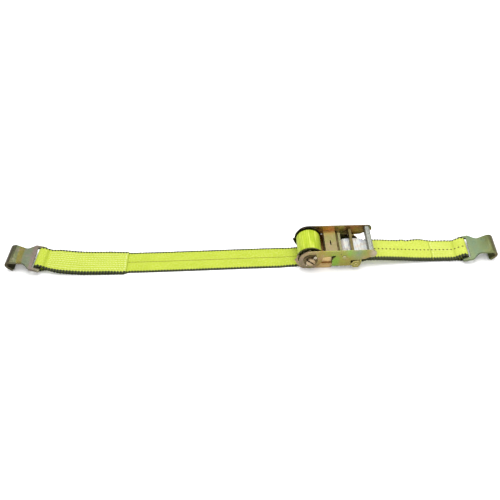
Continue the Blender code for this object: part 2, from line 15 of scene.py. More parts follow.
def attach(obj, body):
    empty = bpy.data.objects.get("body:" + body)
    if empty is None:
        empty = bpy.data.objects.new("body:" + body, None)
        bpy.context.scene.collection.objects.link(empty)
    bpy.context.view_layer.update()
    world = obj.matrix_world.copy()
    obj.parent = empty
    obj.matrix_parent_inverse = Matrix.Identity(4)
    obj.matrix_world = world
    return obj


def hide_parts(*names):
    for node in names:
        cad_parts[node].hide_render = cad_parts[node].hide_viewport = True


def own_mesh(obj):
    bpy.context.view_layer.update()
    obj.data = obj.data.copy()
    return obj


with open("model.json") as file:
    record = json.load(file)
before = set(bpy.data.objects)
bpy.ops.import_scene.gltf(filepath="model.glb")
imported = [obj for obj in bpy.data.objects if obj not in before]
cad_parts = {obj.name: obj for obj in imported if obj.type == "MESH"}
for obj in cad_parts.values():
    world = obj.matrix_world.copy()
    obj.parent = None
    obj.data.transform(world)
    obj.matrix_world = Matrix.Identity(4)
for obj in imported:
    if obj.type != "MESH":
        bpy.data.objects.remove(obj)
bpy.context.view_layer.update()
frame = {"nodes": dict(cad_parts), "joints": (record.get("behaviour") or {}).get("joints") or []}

MM = 0.001
JOINTS = {joint["name"]: joint for joint in frame["joints"]}
DRUM_X = JOINTS["drum_spin"]["pos_m"][0] / MM
DRUM_Z = JOINTS["drum_spin"]["pos_m"][2] / MM
BOLT = [c / MM for c in JOINTS["short_strap_swing"]["pos_m"]]
LEFT_BAR = [c / MM for c in JOINTS["left_hook_swing"]["pos_m"]]
RIGHT_BAR = [c / MM for c in JOINTS["right_hook_swing"]["pos_m"]]

# webbing: width, thickness, and half the distance between the middles of two layers sewn together
WEB_WIDTH, WEB = 50.0, 2.6
PLY = WEB / 2 + 0.15
KNOT_PITCH = 5.6  # from one thick knot of the selvedge to the next
SOFT_EDGE = 2.3  # how far in from the edge the knots swell
LOWEST = 0.02  # a strap that lies on the floor stays this far above it
ROLL_R, ROLL_TURNS = 23.0, 4.6
HOOK_BAR_DEPTH, HOOK_PLATE = 8.5, 5.0
LOOP_R = hypot(HOOK_BAR_DEPTH, HOOK_PLATE) / 2 + 0.7 + WEB / 2  # the strap's middle, round a hook's bar
SLEEVE_R = 6.2

# long strap: where its lap ends, half the bulge between its layers, and where they part for the hook
LONG_LAP_END, LAP_SLACK, LAP_START = -351.0, 0.9, -425.0
# short strap: where its lap ends, the height of its middle where it sags lowest, and where its label ends
SHORT_LAP_END, SAG_Z, LABEL_END = 240.0, 4.2, 121.0
LABEL_WIDTH = 46.0

# the webbing's thread, in metres: ribs along it, picks across, the selvedge's twist, stitches and their rows
RIB_PITCH, PICK_PITCH, TWIST_PITCH = 0.0026, 0.0021, 0.0029
STITCH_PITCH, ROW_PITCH, BAR_PITCH = 0.0054, 0.0047, 0.0044
LABEL_PITCH = 0.0008
ALL_ALONG = 9.0  # past the end of either strap
CLOTH_SHARE = 0.555  # the dyed cloth's colours, as a share of what they look like under this light

SHAFT_TURN = radians(-41)
COTTER_Y, COTTER_R = 38.4, 0.95
SHARP = radians(30)  # metal edges sharper than this are rounded

# how far the straps lie to the side: place along them, shift and slope
WANDER = [
    (-495.0, 2.6, -0.063), (-430.0, -1.2, -0.04), (-320.0, -2.9, 0.0), (-60.0, -0.7, 0.0),
    (-30.0, -0.7, 0.0), (0.0, 0.0, 0.0), (125.0, 0.0, 0.0), (280.0, 2.6, -0.044),
]


# ------------------------------------------------------------------- nodes


def linear(rgb):
    """A colour given as 0-255 screen values, as the shader wants it."""
    def one(c):
        c /= 255
        return c / 12.92 if c <= 0.04045 else ((c + 0.055) / 1.055) ** 2.4
    return (*(one(c) for c in rgb), 1)


def scaled(rgb, share):
    """A linear colour at a share of its brightness."""
    return [c * share for c in linear(rgb)[:3]] + [1]


def add(tree, kind, inputs=None, **settings):
    """A node with its settings, and its inputs given as numbers or linked to sockets."""
    made = tree.nodes.new(kind)
    for key, value in settings.items():
        setattr(made, key, value)
    for key, value in (inputs or {}).items():
        if isinstance(value, bpy.types.NodeSocket):
            tree.links.new(value, made.inputs[key])
        else:
            made.inputs[key].default_value = value
    return made


def maths(tree, operation, a, b=0.0, c=0.0):
    return add(tree, "ShaderNodeMath", {0: a, 1: b, 2: c}, operation=operation).outputs[0]


def times(tree, a, b):
    return maths(tree, "MULTIPLY", a, b)


def plus(tree, a, b):
    return maths(tree, "ADD", a, b)


def apart(tree, a, b):
    return maths(tree, "ABSOLUTE", maths(tree, "SUBTRACT", a, b))


def wave(tree, value, period):
    """A sine from -1 to 1 that repeats at a period in metres."""
    return maths(tree, "SINE", times(tree, value, 2 * pi / period))


def noise_at(tree, vector, scale, detail, roughness):
    inputs = {"Vector": vector, "Scale": scale, "Detail": detail, "Roughness": roughness}
    return add(tree, "ShaderNodeTexNoise", inputs).outputs["Fac"]


def ramp(tree, factor, stops, interpolation="LINEAR"):
    made = add(tree, "ShaderNodeValToRGB", {"Fac": factor})
    made.color_ramp.interpolation = interpolation
    elements = made.color_ramp.elements
    while len(elements) < len(stops):
        elements.new(0.5)
    for element, (place, colour) in zip(elements, stops):
        element.position = place
        element.color = colour
    return made.outputs["Color"]


def mix(tree, factor, a, b, blend_type="MIX"):
    made = add(tree, "ShaderNodeMix", data_type="RGBA", blend_type=blend_type)
    for place, value in ((0, factor), (6, a), (7, b)):
        if isinstance(value, bpy.types.NodeSocket):
            tree.links.new(value, made.inputs[place])
        else:
            made.inputs[place].default_value = value
    return made.outputs[2]


def stretch(tree, vector, scale):
    return add(tree, "ShaderNodeMapping", {"Vector": vector, "Scale": scale}).outputs["Vector"]


def span(tree, value, low, high, out_low=0.0, out_high=1.0, smooth_step=True):
    """Goes from one value to another while the input goes from low to high, and holds them beyond."""
    made = add(tree, "ShaderNodeMapRange", {
        "Value": value, "From Min": low, "From Max": high, "To Min": out_low, "To Max": out_high,
    })
    made.interpolation_type = "SMOOTHSTEP" if smooth_step else "LINEAR"
    return made.outputs["Result"]


def new_material(name, metallic, roughness):
    material = bpy.data.materials.new(name)
    material.use_nodes = True
    tree = material.node_tree
    shader = tree.nodes["Principled BSDF"]
    shader.inputs["Metallic"].default_value = metallic
    shader.inputs["Roughness"].default_value = roughness
    return material, tree, shader


def bump(tree, shader, height, distance, strength=1.0):
    made = add(tree, "ShaderNodeBump", {"Height": height, "Distance": distance, "Strength": strength})
    tree.links.new(made.outputs["Normal"], shader.inputs["Normal"])


# --------------------------------------------------------------- materials


def plating(name, bands, low_bands=None, split=None, tint=(), axis="X", roughness=0.3, lift=0.86,
            warp=9.0, grain=(1, 1, 1), seed=0.0, metallic=0.92):
    """Chromated zinc: its colour drifts along an axis, blotched by noise, over fine rolled grain. Some of the
    bands and blotches given to it below are painted shade and painted highlights.

    bands and low_bands are (place in mm, colour), and low_bands are used below the two split heights.
    tint is (colour, share) of each set of blotches, lift the brightness of it all, and warp how far noise
    moves a band, in mm."""
    material, tree, shader = new_material(name, metallic, roughness)
    where = add(tree, "ShaderNodeTexCoord").outputs["Object"]
    moved = add(tree, "ShaderNodeMapping", {"Vector": where, "Location": (seed, seed * 0.7, 0)}).outputs[0]
    parts = add(tree, "ShaderNodeSeparateXYZ", {"Vector": where}).outputs
    coarse = noise_at(tree, moved, 55.0, 3.0, 0.55)
    fine = noise_at(tree, moved, 190.0, 4.0, 0.6)
    origin = DRUM_X * MM if axis == "X" else 0.0
    place = maths(tree, "SUBTRACT", parts[axis], origin)
    drift = maths(tree, "MULTIPLY_ADD", coarse, 2 * warp * MM, -warp * MM)
    place = plus(tree, place, drift)

    def along(stops):
        low, high = stops[0][0] * MM, stops[-1][0] * MM + 1e-6
        factor = span(tree, place, low, high, smooth_step=False)
        colours = [((x * MM - low) / (high - low), scaled(rgb, lift)) for x, rgb in stops]
        return ramp(tree, factor, colours, "EASE")

    colour = along(bands)
    if low_bands:
        ragged = 8.0
        height = maths(tree, "MULTIPLY_ADD", fine, ragged * MM, parts["Z"])
        share = span(tree, height, (split[0] + ragged / 2) * MM, (split[1] + ragged / 2) * MM)
        colour = mix(tree, share, along(low_bands), colour)
    for i, (rgb, amount) in enumerate(tint):
        spots = noise_at(tree, stretch(tree, moved, (1 + 0.3 * i, 1, 1.4)), 95.0 + 38 * i, 3.0, 0.6)
        share = span(tree, spots, 0.5, 0.68, 0.0, amount)
        colour = mix(tree, share, colour, scaled(rgb, lift))
    streaks = noise_at(tree, stretch(tree, moved, grain), 900.0, 3.0, 0.65)
    shade = span(tree, streaks, 0.25, 0.75, 0.86, 1.1)
    grey = add(tree, "ShaderNodeCombineColor", {0: shade, 1: shade, 2: shade}).outputs[0]
    tree.links.new(mix(tree, 1.0, colour, grey, "MULTIPLY"), shader.inputs["Base Color"])
    rough = span(tree, fine, 0.3, 0.75, roughness - 0.07, roughness + 0.16)
    tree.links.new(rough, shader.inputs["Roughness"])
    bump(tree, shader, plus(tree, streaks, times(tree, fine, 2.0)), 0.00012, 0.55)
    return material


def worn_highlit_edge(name, rgb):
    """The slightly scuffed metal along a sheet's edge: wear, and, where it is lighter than the faces, a
    painted highlight along the edge.
    """
    material, tree, shader = new_material(name, 0.95, 0.34)
    where = add(tree, "ShaderNodeTexCoord").outputs["Object"]
    spots = noise_at(tree, where, 420.0, 4.0, 0.7)
    colour = ramp(tree, spots, [(0.3, scaled(rgb, 0.5)), (0.62, linear(rgb))])
    tree.links.new(colour, shader.inputs["Base Color"])
    bump(tree, shader, spots, 0.0001, 0.5)
    return material


def cloth_colour(rgb, share=1.0):
    return scaled(rgb, CLOTH_SHARE * share)


def dyed_and_shaded_cloth(tree, uv, weave, base, deep, fleck_share, streaks):
    """The cloth's colour: base on top of the weave, the deep colour in its hollows as painted shade, with
    clouds, flecks, and weft streaks of painted highlight and painted shade.
    """
    thread = noise_at(tree, stretch(tree, uv, (240.0, 1500.0, 1.0)), 1.0, 3.0, 0.6)
    cloud = noise_at(tree, stretch(tree, uv, (26.0, 60.0, 1.0)), 1.0, 3.0, 0.55)
    fleck = noise_at(tree, stretch(tree, uv, (480.0, 360.0, 1.0)), 1.0, 2.0, 0.7)
    # the weave's hollows take the deep colour: painted shade
    cloth = mix(tree, span(tree, weave, -0.65, 0.65), cloth_colour(deep), cloth_colour(base))
    cloth = mix(tree, span(tree, thread, 0.35, 0.7, 0.0, 0.5), cloth, cloth_colour(deep))
    cloth = mix(tree, span(tree, cloud, 0.4, 0.66, 0.0, 0.6), cloth, cloth_colour(deep))
    cloth = mix(tree, span(tree, fleck, 0.5, 0.64, 0.0, fleck_share), cloth, cloth_colour((252, 255, 150)))
    cloth = mix(tree, span(tree, fleck, 0.47, 0.34, 0.0, fleck_share), cloth, cloth_colour(deep, 0.8))
    if streaks:
        # streaks along the weft: the pale ones are painted highlights, the dark ones painted shade
        weft_light_and_shade = noise_at(tree, stretch(tree, uv, (330.0, 14.0, 1.0)), 1.0, 2.0, 0.6)
        cloth = mix(tree, span(tree, weft_light_and_shade, 0.5, 0.66, 0.0, streaks), cloth, cloth_colour((246, 255, 112)))
        cloth = mix(tree, span(tree, weft_light_and_shade, 0.48, 0.36, 0.0, streaks), cloth, cloth_colour(deep, 0.85))
    return cloth, thread


def sewn_rows(tree, uv, u, v, cloth, deep, first, last, amount, bar, pale):
    """Pale stitching in rows between two places along the strap, and a bar of it across the lap's end, with
    painted shade in a crease just before the stitching.
    """
    across = maths(tree, "ABSOLUTE", v)
    row = apart(tree, maths(tree, "PINGPONG", v, ROW_PITCH / 2), ROW_PITCH / 2)
    on_row = span(tree, row, 0.0004, 0.0009, 1.0, 0.0)
    offset = noise_at(tree, stretch(tree, uv, (4.0, 260.0, 1.0)), 1.0, 1.0, 0.5)
    dash = maths(tree, "PINGPONG", maths(tree, "MULTIPLY_ADD", offset, 0.03, u), STITCH_PITCH / 2)
    on_dash = span(tree, dash, 0.0006, 0.0013)
    inside = times(tree, span(tree, u, first, first + 0.004), span(tree, u, last, last - 0.003))
    inside = times(tree, inside, span(tree, across, 0.0215, 0.0208))
    sewn = times(tree, times(tree, on_row, on_dash), inside)
    cloth = mix(tree, times(tree, inside, pale), cloth, cloth_colour((246, 250, 160)))
    # a darker band 4 mm before the first stitch: painted shade in the crease there
    crease = span(tree, apart(tree, u, first - 0.004), 0.001, 0.004, 0.6, 0.0)
    cloth = mix(tree, crease, cloth, cloth_colour(deep, 0.8))
    cloth = mix(tree, times(tree, sewn, amount), cloth, scaled((250, 250, 196), 0.9))
    on_bar = span(tree, apart(tree, u, last - 0.0035), 0.0008, 0.0014, 1.0, 0.0)
    on_bar = times(tree, on_bar, span(tree, maths(tree, "PINGPONG", v, BAR_PITCH / 2), 0.0004, 0.0009))
    on_bar = times(tree, on_bar, span(tree, across, 0.0228, 0.0222))
    cloth = mix(tree, times(tree, on_bar, bar), cloth, scaled((250, 250, 215), 0.9))
    return cloth, sewn


def tracer_line(tree, u, v, cloth, share, colour, half, end, pitch, gap):
    """A dashed thread along the middle of the strap, as far as end.

    half and pitch are in mm, end in metres, and gap is the thread's share between the dashes."""
    on_line = span(tree, maths(tree, "ABSOLUTE", v), half * 0.6 * MM, half * 1.2 * MM, 1.0, 0.0)
    dash = maths(tree, "PINGPONG", u, pitch / 2 * MM)
    on_dash = span(tree, dash, 0.24 * pitch * MM, 0.36 * pitch * MM, gap, 1.0)
    on = times(tree, times(tree, on_line, on_dash), span(tree, u, end, end - 0.004))
    return mix(tree, times(tree, on, share), cloth, cloth_colour(colour))


def selvedge(tree, u, v, thread, edge, ragged, near_shade, far_extra):
    """The dark twisted yarn along both edges: its colour, its share and its twist. Its lighter dots are
    painted highlights, and its extra width on the near edge is painted shade of the strap's near side and its
    shadow on the floor.
    """
    across = maths(tree, "ABSOLUTE", v)
    twist = wave(tree, plus(tree, u, times(tree, across, 0.9)), TWIST_PITCH)
    knots = wave(tree, u, KNOT_PITCH * MM)
    border = maths(tree, "MULTIPLY_ADD", thread, 0.0006, span(tree, twist, -1.0, 1.0, -0.0003, 0.0003))
    border = plus(tree, maths(tree, "MULTIPLY_ADD", knots, ragged * MM, border), across)
    # widen the dark band on the near edge: painted shade of the strap's near side and its shadow
    border = plus(tree, border, span(tree, v, 0.0, -0.004, 0.0, near_shade * MM))
    border = plus(tree, border, span(tree, v, 0.0, 0.004, 0.0, far_extra * MM))
    share = span(tree, border, edge * MM, (edge + 0.6) * MM)
    dark = mix(tree, span(tree, twist, -0.9, 0.9), linear((7, 9, 3)), linear((30, 34, 14)))
    # lighter dots along the yarn: painted highlights
    dark = mix(tree, span(tree, knots, 0.2, -0.9, 0.0, 0.42), dark, linear((96, 106, 38)))
    return dark, share, twist


def woven(name, base, deep, edge, ragged, near_shade, far_extra=0.0, fleck_share=0.42, streaks=0.0,
          stitch=None, tracer=None):
    """Polyester webbing, from its UV map: u along and v across from the middle, in metres.

    edge is where the dark selvedge starts, from the middle, and ragged and the extra widths at the near and
    far edges move it, all in mm; the near edge's extra width is painted shade. stitch holds the last
    arguments of sewn_rows, and tracer those of tracer_line."""
    material, tree, shader = new_material(name, 0.0, 0.62)
    uv = add(tree, "ShaderNodeUVMap", uv_map="along_across").outputs["UV"]
    parts = add(tree, "ShaderNodeSeparateXYZ", {"Vector": uv}).outputs
    u, v = parts["X"], parts["Y"]

    # the warp ribs lie lengthwise and the picks slant across them, turning over at each rib
    rib = wave(tree, v, RIB_PITCH)
    pick = wave(tree, plus(tree, u, maths(tree, "PINGPONG", v, RIB_PITCH / 2)), PICK_PITCH)
    weave = maths(tree, "MULTIPLY_ADD", rib, 0.35, times(tree, pick, 0.3))
    cloth, thread = dyed_and_shaded_cloth(tree, uv, weave, base, deep, fleck_share, streaks)
    if stitch:
        cloth, sewn = sewn_rows(tree, uv, u, v, cloth, deep, **stitch)
        weave = plus(tree, weave, times(tree, sewn, 0.9))
    if tracer:
        cloth = tracer_line(tree, u, v, cloth, **tracer)
    dark, edge_share, twist = selvedge(tree, u, v, thread, edge, ragged, near_shade, far_extra)

    tree.links.new(mix(tree, edge_share, cloth, dark), shader.inputs["Base Color"])
    tree.links.new(span(tree, weave, -0.6, 0.6, 0.74, 0.56), shader.inputs["Roughness"])
    shader.inputs["Sheen Weight"].default_value = 0.04
    shader.inputs["Sheen Roughness"].default_value = 0.45
    shader.inputs["Specular IOR Level"].default_value = 0.25
    height = plus(tree, weave, plus(tree, times(tree, twist, edge_share), times(tree, thread, 0.7)))
    bump(tree, shader, height, 0.0003, 0.7)
    return material


def label_cloth(name):
    """A coated white label with faint lilac and pink cast, finely creased along the strap's width, with
    painted shade in the creases.
    """
    material, tree, shader = new_material(name, 0.0, 0.42)
    uv = add(tree, "ShaderNodeUVMap", uv_map="along_across").outputs["UV"]
    crease = noise_at(tree, stretch(tree, uv, (420.0, 45.0, 1.0)), 1.0, 4.0, 0.6)
    cloud = noise_at(tree, stretch(tree, uv, (60.0, 80.0, 1.0)), 1.0, 3.0, 0.5)
    colour = ramp(tree, cloud, [
        (0.3, linear((182, 182, 202))), (0.46, linear((208, 214, 208))), (0.6, linear((206, 194, 180))),
        (0.75, linear((196, 212, 204))),
    ])
    # the creases are darker: painted shade
    colour = mix(tree, span(tree, crease, 0.5, 0.66, 0.0, 0.8), colour, linear((124, 116, 134)))
    parts = add(tree, "ShaderNodeSeparateXYZ", {"Vector": uv}).outputs
    weave = times(tree, wave(tree, parts["X"], LABEL_PITCH), wave(tree, parts["Y"], LABEL_PITCH))
    tree.links.new(colour, shader.inputs["Base Color"])
    tree.links.new(span(tree, cloud, 0.3, 0.7, 0.34, 0.52), shader.inputs["Roughness"])
    bump(tree, shader, maths(tree, "MULTIPLY_ADD", weave, 0.12, crease), 0.0005, 0.6)
    return material


def floor_material():
    material, tree, shader = new_material("studio_floor", 0.0, 0.9)
    where = add(tree, "ShaderNodeTexCoord").outputs["Object"]
    grain = noise_at(tree, where, 30.0, 2.0, 0.5)
    tree.links.new(ramp(tree, grain, [(0.3, (0.93, 0.93, 0.93, 1)), (0.7, (0.95, 0.95, 0.95, 1))]),
                   shader.inputs["Base Color"])
    shader.inputs["Specular IOR Level"].default_value = 0.1
    return material


# --------------------------------------------------------- pieces of metal


def new_object(name, data):
    made = bpy.data.objects.new(name, data)
    bpy.context.scene.collection.objects.link(made)
    return made


def stands_for(obj, body, node):
    """The piece moves with a body and stands for a CAD node, whose mesh is hidden."""
    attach(obj, body)
    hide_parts(node)


def bare_mesh(node, name):
    """A CAD node's mesh with shared corners and whole flat faces, ready to have its edges rounded."""
    bm = bmesh.new()
    bm.from_mesh(frame["nodes"][node].data)
    bmesh.ops.remove_doubles(bm, verts=bm.verts, dist=2e-6)
    bmesh.ops.dissolve_degenerate(bm, dist=2e-6, edges=bm.edges)
    bmesh.ops.dissolve_limit(bm, angle_limit=radians(0.6), verts=bm.verts, edges=bm.edges)
    for face in bm.faces:
        face.material_index = 0
    mesh = bpy.data.meshes.new(name)
    bm.to_mesh(mesh)
    bm.free()
    while mesh.uv_layers:
        mesh.uv_layers.remove(mesh.uv_layers[0])
    return mesh


def finish_metal(node, body, slot_name, material, edge, width, outer=None):
    """A plated piece that stands for a CAD node: the same shape, with its edges rounded by width mm.

    outer is the materials of the faces that look away from the camera and of those that look up, so that the
    painted light and shade of the main material stay on the faces toward the camera."""
    name = f"{node}_finish"
    mesh = bare_mesh(node, name)
    for coat in (material, edge, *(outer or ())):
        mesh.materials.append(coat)
    if outer:
        for face in mesh.polygons:
            if face.normal.y > 0.9:
                face.material_index = 2
            elif face.normal.z > 0.6:
                face.material_index = 3
    obj = new_object(name, mesh)
    mesh.shade_smooth()
    mesh.set_sharp_from_angle(angle=SHARP)
    rounding = obj.modifiers.new("rounded_edges", "BEVEL")
    rounding.width = width * MM
    rounding.segments = 2
    rounding.limit_method = "ANGLE"
    rounding.angle_limit = SHARP
    rounding.material = 1
    rounding.harden_normals = True
    stands_for(obj, body, node)


def wire(name, points, radius, body, node, spring=None):
    """A bright round wire through points in millimetres, x and z measured from the drum's axis.

    spring is (joint, x of its fixed end, share of its length left at the joint's limit); when it is given,
    the wire is made into a mesh of its own, and the values in it are not used."""
    curve = bpy.data.curves.new(name, "CURVE")
    curve.dimensions = "3D"
    curve.bevel_depth = radius * MM
    curve.bevel_resolution = 4
    curve.use_fill_caps = True
    spline = curve.splines.new("POLY")
    spline.points.add(len(points) - 1)
    for point, (x, y, z) in zip(spline.points, points):
        point.co = ((DRUM_X + x) * MM, y * MM, (DRUM_Z + z) * MM, 1)
    obj = new_object(name, curve)
    curve.materials.append(bright_zinc)
    if spring:
        coil = bpy.data.meshes.new_from_object(obj.evaluated_get(bpy.context.evaluated_depsgraph_get()))
        bpy.data.objects.remove(obj)
        obj = new_object(name, coil)
    stands_for(obj, body, node)
    if spring:
        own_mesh(obj)


# ----------------------------------------------------------------- webbing


def smooth(t):
    """Goes from 0 to 1 while t does, level at both ends."""
    t = min(max(t, 0), 1)
    return t * t * (3 - 2 * t)


def frange(start, end, step):
    """Evenly spaced values from start to end, at most a step apart."""
    count = max(1, ceil(abs(end - start) / step))
    return [start + (end - start) * i / count for i in range(count + 1)]


def arc(centre, radius, start, end, step):
    """Points on a circle between two angles in degrees, at most a step apart."""
    count = max(2, ceil(abs(end - start) / step))
    angles = [radians(start + (end - start) * i / count) for i in range(count + 1)]
    return [(centre[0] + radius * cos(a), centre[1] + radius * sin(a)) for a in angles]


def wander(x):
    """How far a strap lies to the side at a distance along it, and its slope there."""
    if x <= WANDER[0][0] or x >= WANDER[-1][0]:
        at, y, slope = WANDER[0] if x <= WANDER[0][0] else WANDER[-1]
        return y + slope * (x - at), slope
    i = max(k for k, knot in enumerate(WANDER) if knot[0] <= x)
    (x0, y0, m0), (x1, y1, m1) = WANDER[i], WANDER[i + 1]
    h, t = x1 - x0, (x - x0) / (x1 - x0)
    y = (1 + 2 * t) * (1 - t) ** 2 * y0 + t * (1 - t) ** 2 * h * m0
    y += t * t * (3 - 2 * t) * y1 + t * t * (t - 1) * h * m1
    slope = 6 * t * (1 - t) * (y1 - y0) / h + (1 - t) * (1 - 3 * t) * m0 + t * (3 * t - 2) * m1
    return y, slope


def cross_section(width, thickness):
    """Points round a strap's section, (across, up), with softly rounded edges."""
    half, edge = width / 2, thickness / 2
    flat = half - 2.2
    top = [(0.75 - half, edge)] + [(-flat + 2 * flat * i / 6, edge) for i in range(7)] + [(half - 0.75, edge)]
    side = [(half - 0.2, edge * 0.6), (half, 0.0), (half - 0.2, -edge * 0.6)]
    bottom = [(y, -z) for y, z in reversed(top)]
    other_side = [(-y, -z) for y, z in side]
    return top + side + bottom + other_side


def resampled(path, step):
    """Points at an even spacing along a path, and its length."""
    points = [Vector(p) for p in path]
    lengths = [0.0]
    for a, b in zip(points, points[1:]):
        lengths.append(lengths[-1] + (b - a).length)
    count = max(2, round(lengths[-1] / step))
    found, k = [], 0
    for i in range(count + 1):
        want = lengths[-1] * i / count
        while k < len(points) - 2 and lengths[k + 1] < want:
            k += 1
        share = (want - lengths[k]) / max(lengths[k + 1] - lengths[k], 1e-9)
        found.append(points[k].lerp(points[k + 1], min(max(share, 0), 1)))
    return found, lengths[-1]


def skin(bm, rings, section):
    """Faces from ring to ring and over both ends, with (along, across) in metres as their UV."""
    layer = bm.loops.layers.uv.new("along_across")
    count = len(section)
    for (u0, first), (u1, second) in zip(rings, rings[1:]):
        for k in range(count):
            n = (k + 1) % count
            face = bm.faces.new([first[k], first[n], second[n], second[k]])
            places = ((u0, section[k][0]), (u0, section[n][0]), (u1, section[n][0]), (u1, section[k][0]))
            for loop, (u, v) in zip(face.loops, places):
                loop[layer].uv = (u, v * MM)
    for (u, ring), order in ((rings[0], 1), (rings[-1], -1)):
        for loop in bm.faces.new(ring[::order]).loops:
            loop[layer].uv = (u, 0.01)
    bmesh.ops.recalc_face_normals(bm, faces=bm.faces)
    if bm.calc_volume(signed=True) < 0:
        bmesh.ops.reverse_faces(bm, faces=bm.faces)


def ribbon(name, path, material, thickness=WEB, width=WEB_WIDTH, step=1.35, lump=0.0, ripple=0.0,
           straight=False, seed=0.0, wider=None, curl=None):
    """Webbing along a path of (x, z), wandering to the side, with a lumpy selvedge.

    wider(x) gives how much wider it is there, and curl(x, y, z) how far a point moves sideways and up."""
    points, length = resampled(path, step)
    section = cross_section(width, thickness)
    bm = bmesh.new()
    rings = []
    for i, here in enumerate(points):
        ahead = (points[min(i + 1, len(points) - 1)] - points[max(i - 1, 0)]).normalized()
        upward = Vector((-ahead.y, ahead.x))
        along = length * i / (len(points) - 1)
        ring = []
        for y, up in section:
            edge = max(0.0, abs(y) - width / 2 + SOFT_EDGE) / SOFT_EDGE
            phase = (1.3 if y > 0 else 0) + 0.8 * sin(along / 9.0)
            knot = 0.5 + 0.5 * sin(2 * pi * along / KNOT_PITCH + phase)
            rough = noise.noise(Vector((along * 0.33, y * 0.4, seed + (3 if up > 0 else 0))))
            puff = lump * edge * (knot + 0.7 * rough - 0.35)
            dip = ripple * noise.noise(Vector((along * 0.11, y * 0.12, seed + 9))) * (1 if up > 0 else 0.6)
            high = up + (puff if up > 0 else -puff if up < 0 else 0) + dip
            grow = wider(here.x) if wider else 0.0
            out = y * (1 + grow / width) + (0.35 * puff if y > 0 else -0.35 * puff)
            aside, lifted = curl(here.x, y, here.y) if curl else (0.0, 0.0)
            out, high = out + aside, high + lifted
            corner = here + upward * high
            shift, slope = (0.0, 0.0) if straight else wander(corner.x)
            place = Vector((DRUM_X + corner.x - slope * out, shift + out, max(corner.y, LOWEST)))
            ring.append(bm.verts.new(place * MM))
        rings.append((along * MM, ring))
    skin(bm, rings, section)
    mesh = bpy.data.meshes.new(name)
    bm.to_mesh(mesh)
    bm.free()
    mesh.shade_smooth()
    mesh.set_sharp_from_angle(angle=radians(60))
    mesh.materials.append(material)
    return new_object(name, mesh), length


def path_length(path):
    return sum((Vector(b) - Vector(a)).length for a, b in zip(path, path[1:]))


# ------------------------------------------------------------------ straps


def long_strap():
    """One strip from under the drum, along the floor, round the left hook's bar and back over itself."""
    bar_x, bar_z = LEFT_BAR[0] - DRUM_X, LEFT_BAR[2]
    lead_end = -60.0  # where the strap meets the floor
    part = 20.0  # the length over which its layers part before the hook's bar
    seam = 17.0  # from its turn round the bar to the first stitch
    rise = LAP_START - bar_x

    def slack(x):
        return LAP_SLACK * smooth((x - bar_x - 15) / 25) * smooth((LONG_LAP_END - 6 - x) / 30)

    def middle(x):
        t = min(max((LAP_START - x) / rise, 0), 1)
        return WEB / 2 + PLY + slack(x) + (bar_z - WEB / 2 - PLY) * t * t * (2 - t)

    def spread(x):
        return PLY + slack(x) + (LOOP_R - PLY) * smooth((bar_x + part - x) / part)

    def curl(x, y, z):
        """The doubled part spreads a little at its near edge."""
        doubled = smooth((x - bar_x - 14) / 30) * smooth((LONG_LAP_END + 6 - x) / 14)
        return -3.6 * doubled * smooth(-y / 25), 0.0

    def wider(x):
        return 2.4 * smooth((-40 - x) / 20) * smooth((x - bar_x - 14) / 15)

    under_roll = DRUM_Z - ROLL_R - 0.35 - WEB / 2
    fall = under_roll - WEB / 2
    lead = [(x, WEB / 2 + fall * smooth((x - lead_end) / 56)) for x in frange(3, lead_end, 4)]
    run = [(x, WEB / 2) for x in frange(lead_end, LAP_START + part, 15)[1:-1]]
    down = [(x, middle(x) - spread(x)) for x in frange(LAP_START + part, bar_x, 3)]
    loop = arc((bar_x, bar_z), LOOP_R, 270, 90, 9)[1:-1]
    up = [(x, middle(x) + spread(x)) for x in frange(bar_x, LAP_START + part, 3)]
    lap = [(x, middle(x) + spread(x)) for x in frange(LAP_START + part, LONG_LAP_END, 5)[1:]]
    to_loop = lead + run + down + loop
    path = to_loop + up + lap
    cloth = woven(
        "webbing_left", (222, 240, 74), (192, 212, 36), edge=22.2, ragged=0.9, near_shade=0.6, far_extra=0.8,
        stitch={"first": (path_length(to_loop) + seam) * MM, "last": path_length(path) * MM, "amount": 0.32,
                "bar": 0.16, "pale": 0.02},
        tracer={"share": 0.85, "colour": (108, 88, 12), "half": 0.8, "end": path_length(lead + run) * MM,
                "pitch": 5.8, "gap": 0.5})
    strap, length = ribbon("left_strap_web", path, cloth, lump=0.8, ripple=0.35, wider=wider, curl=curl)
    stands_for(strap, "long_strap", "long_strap")


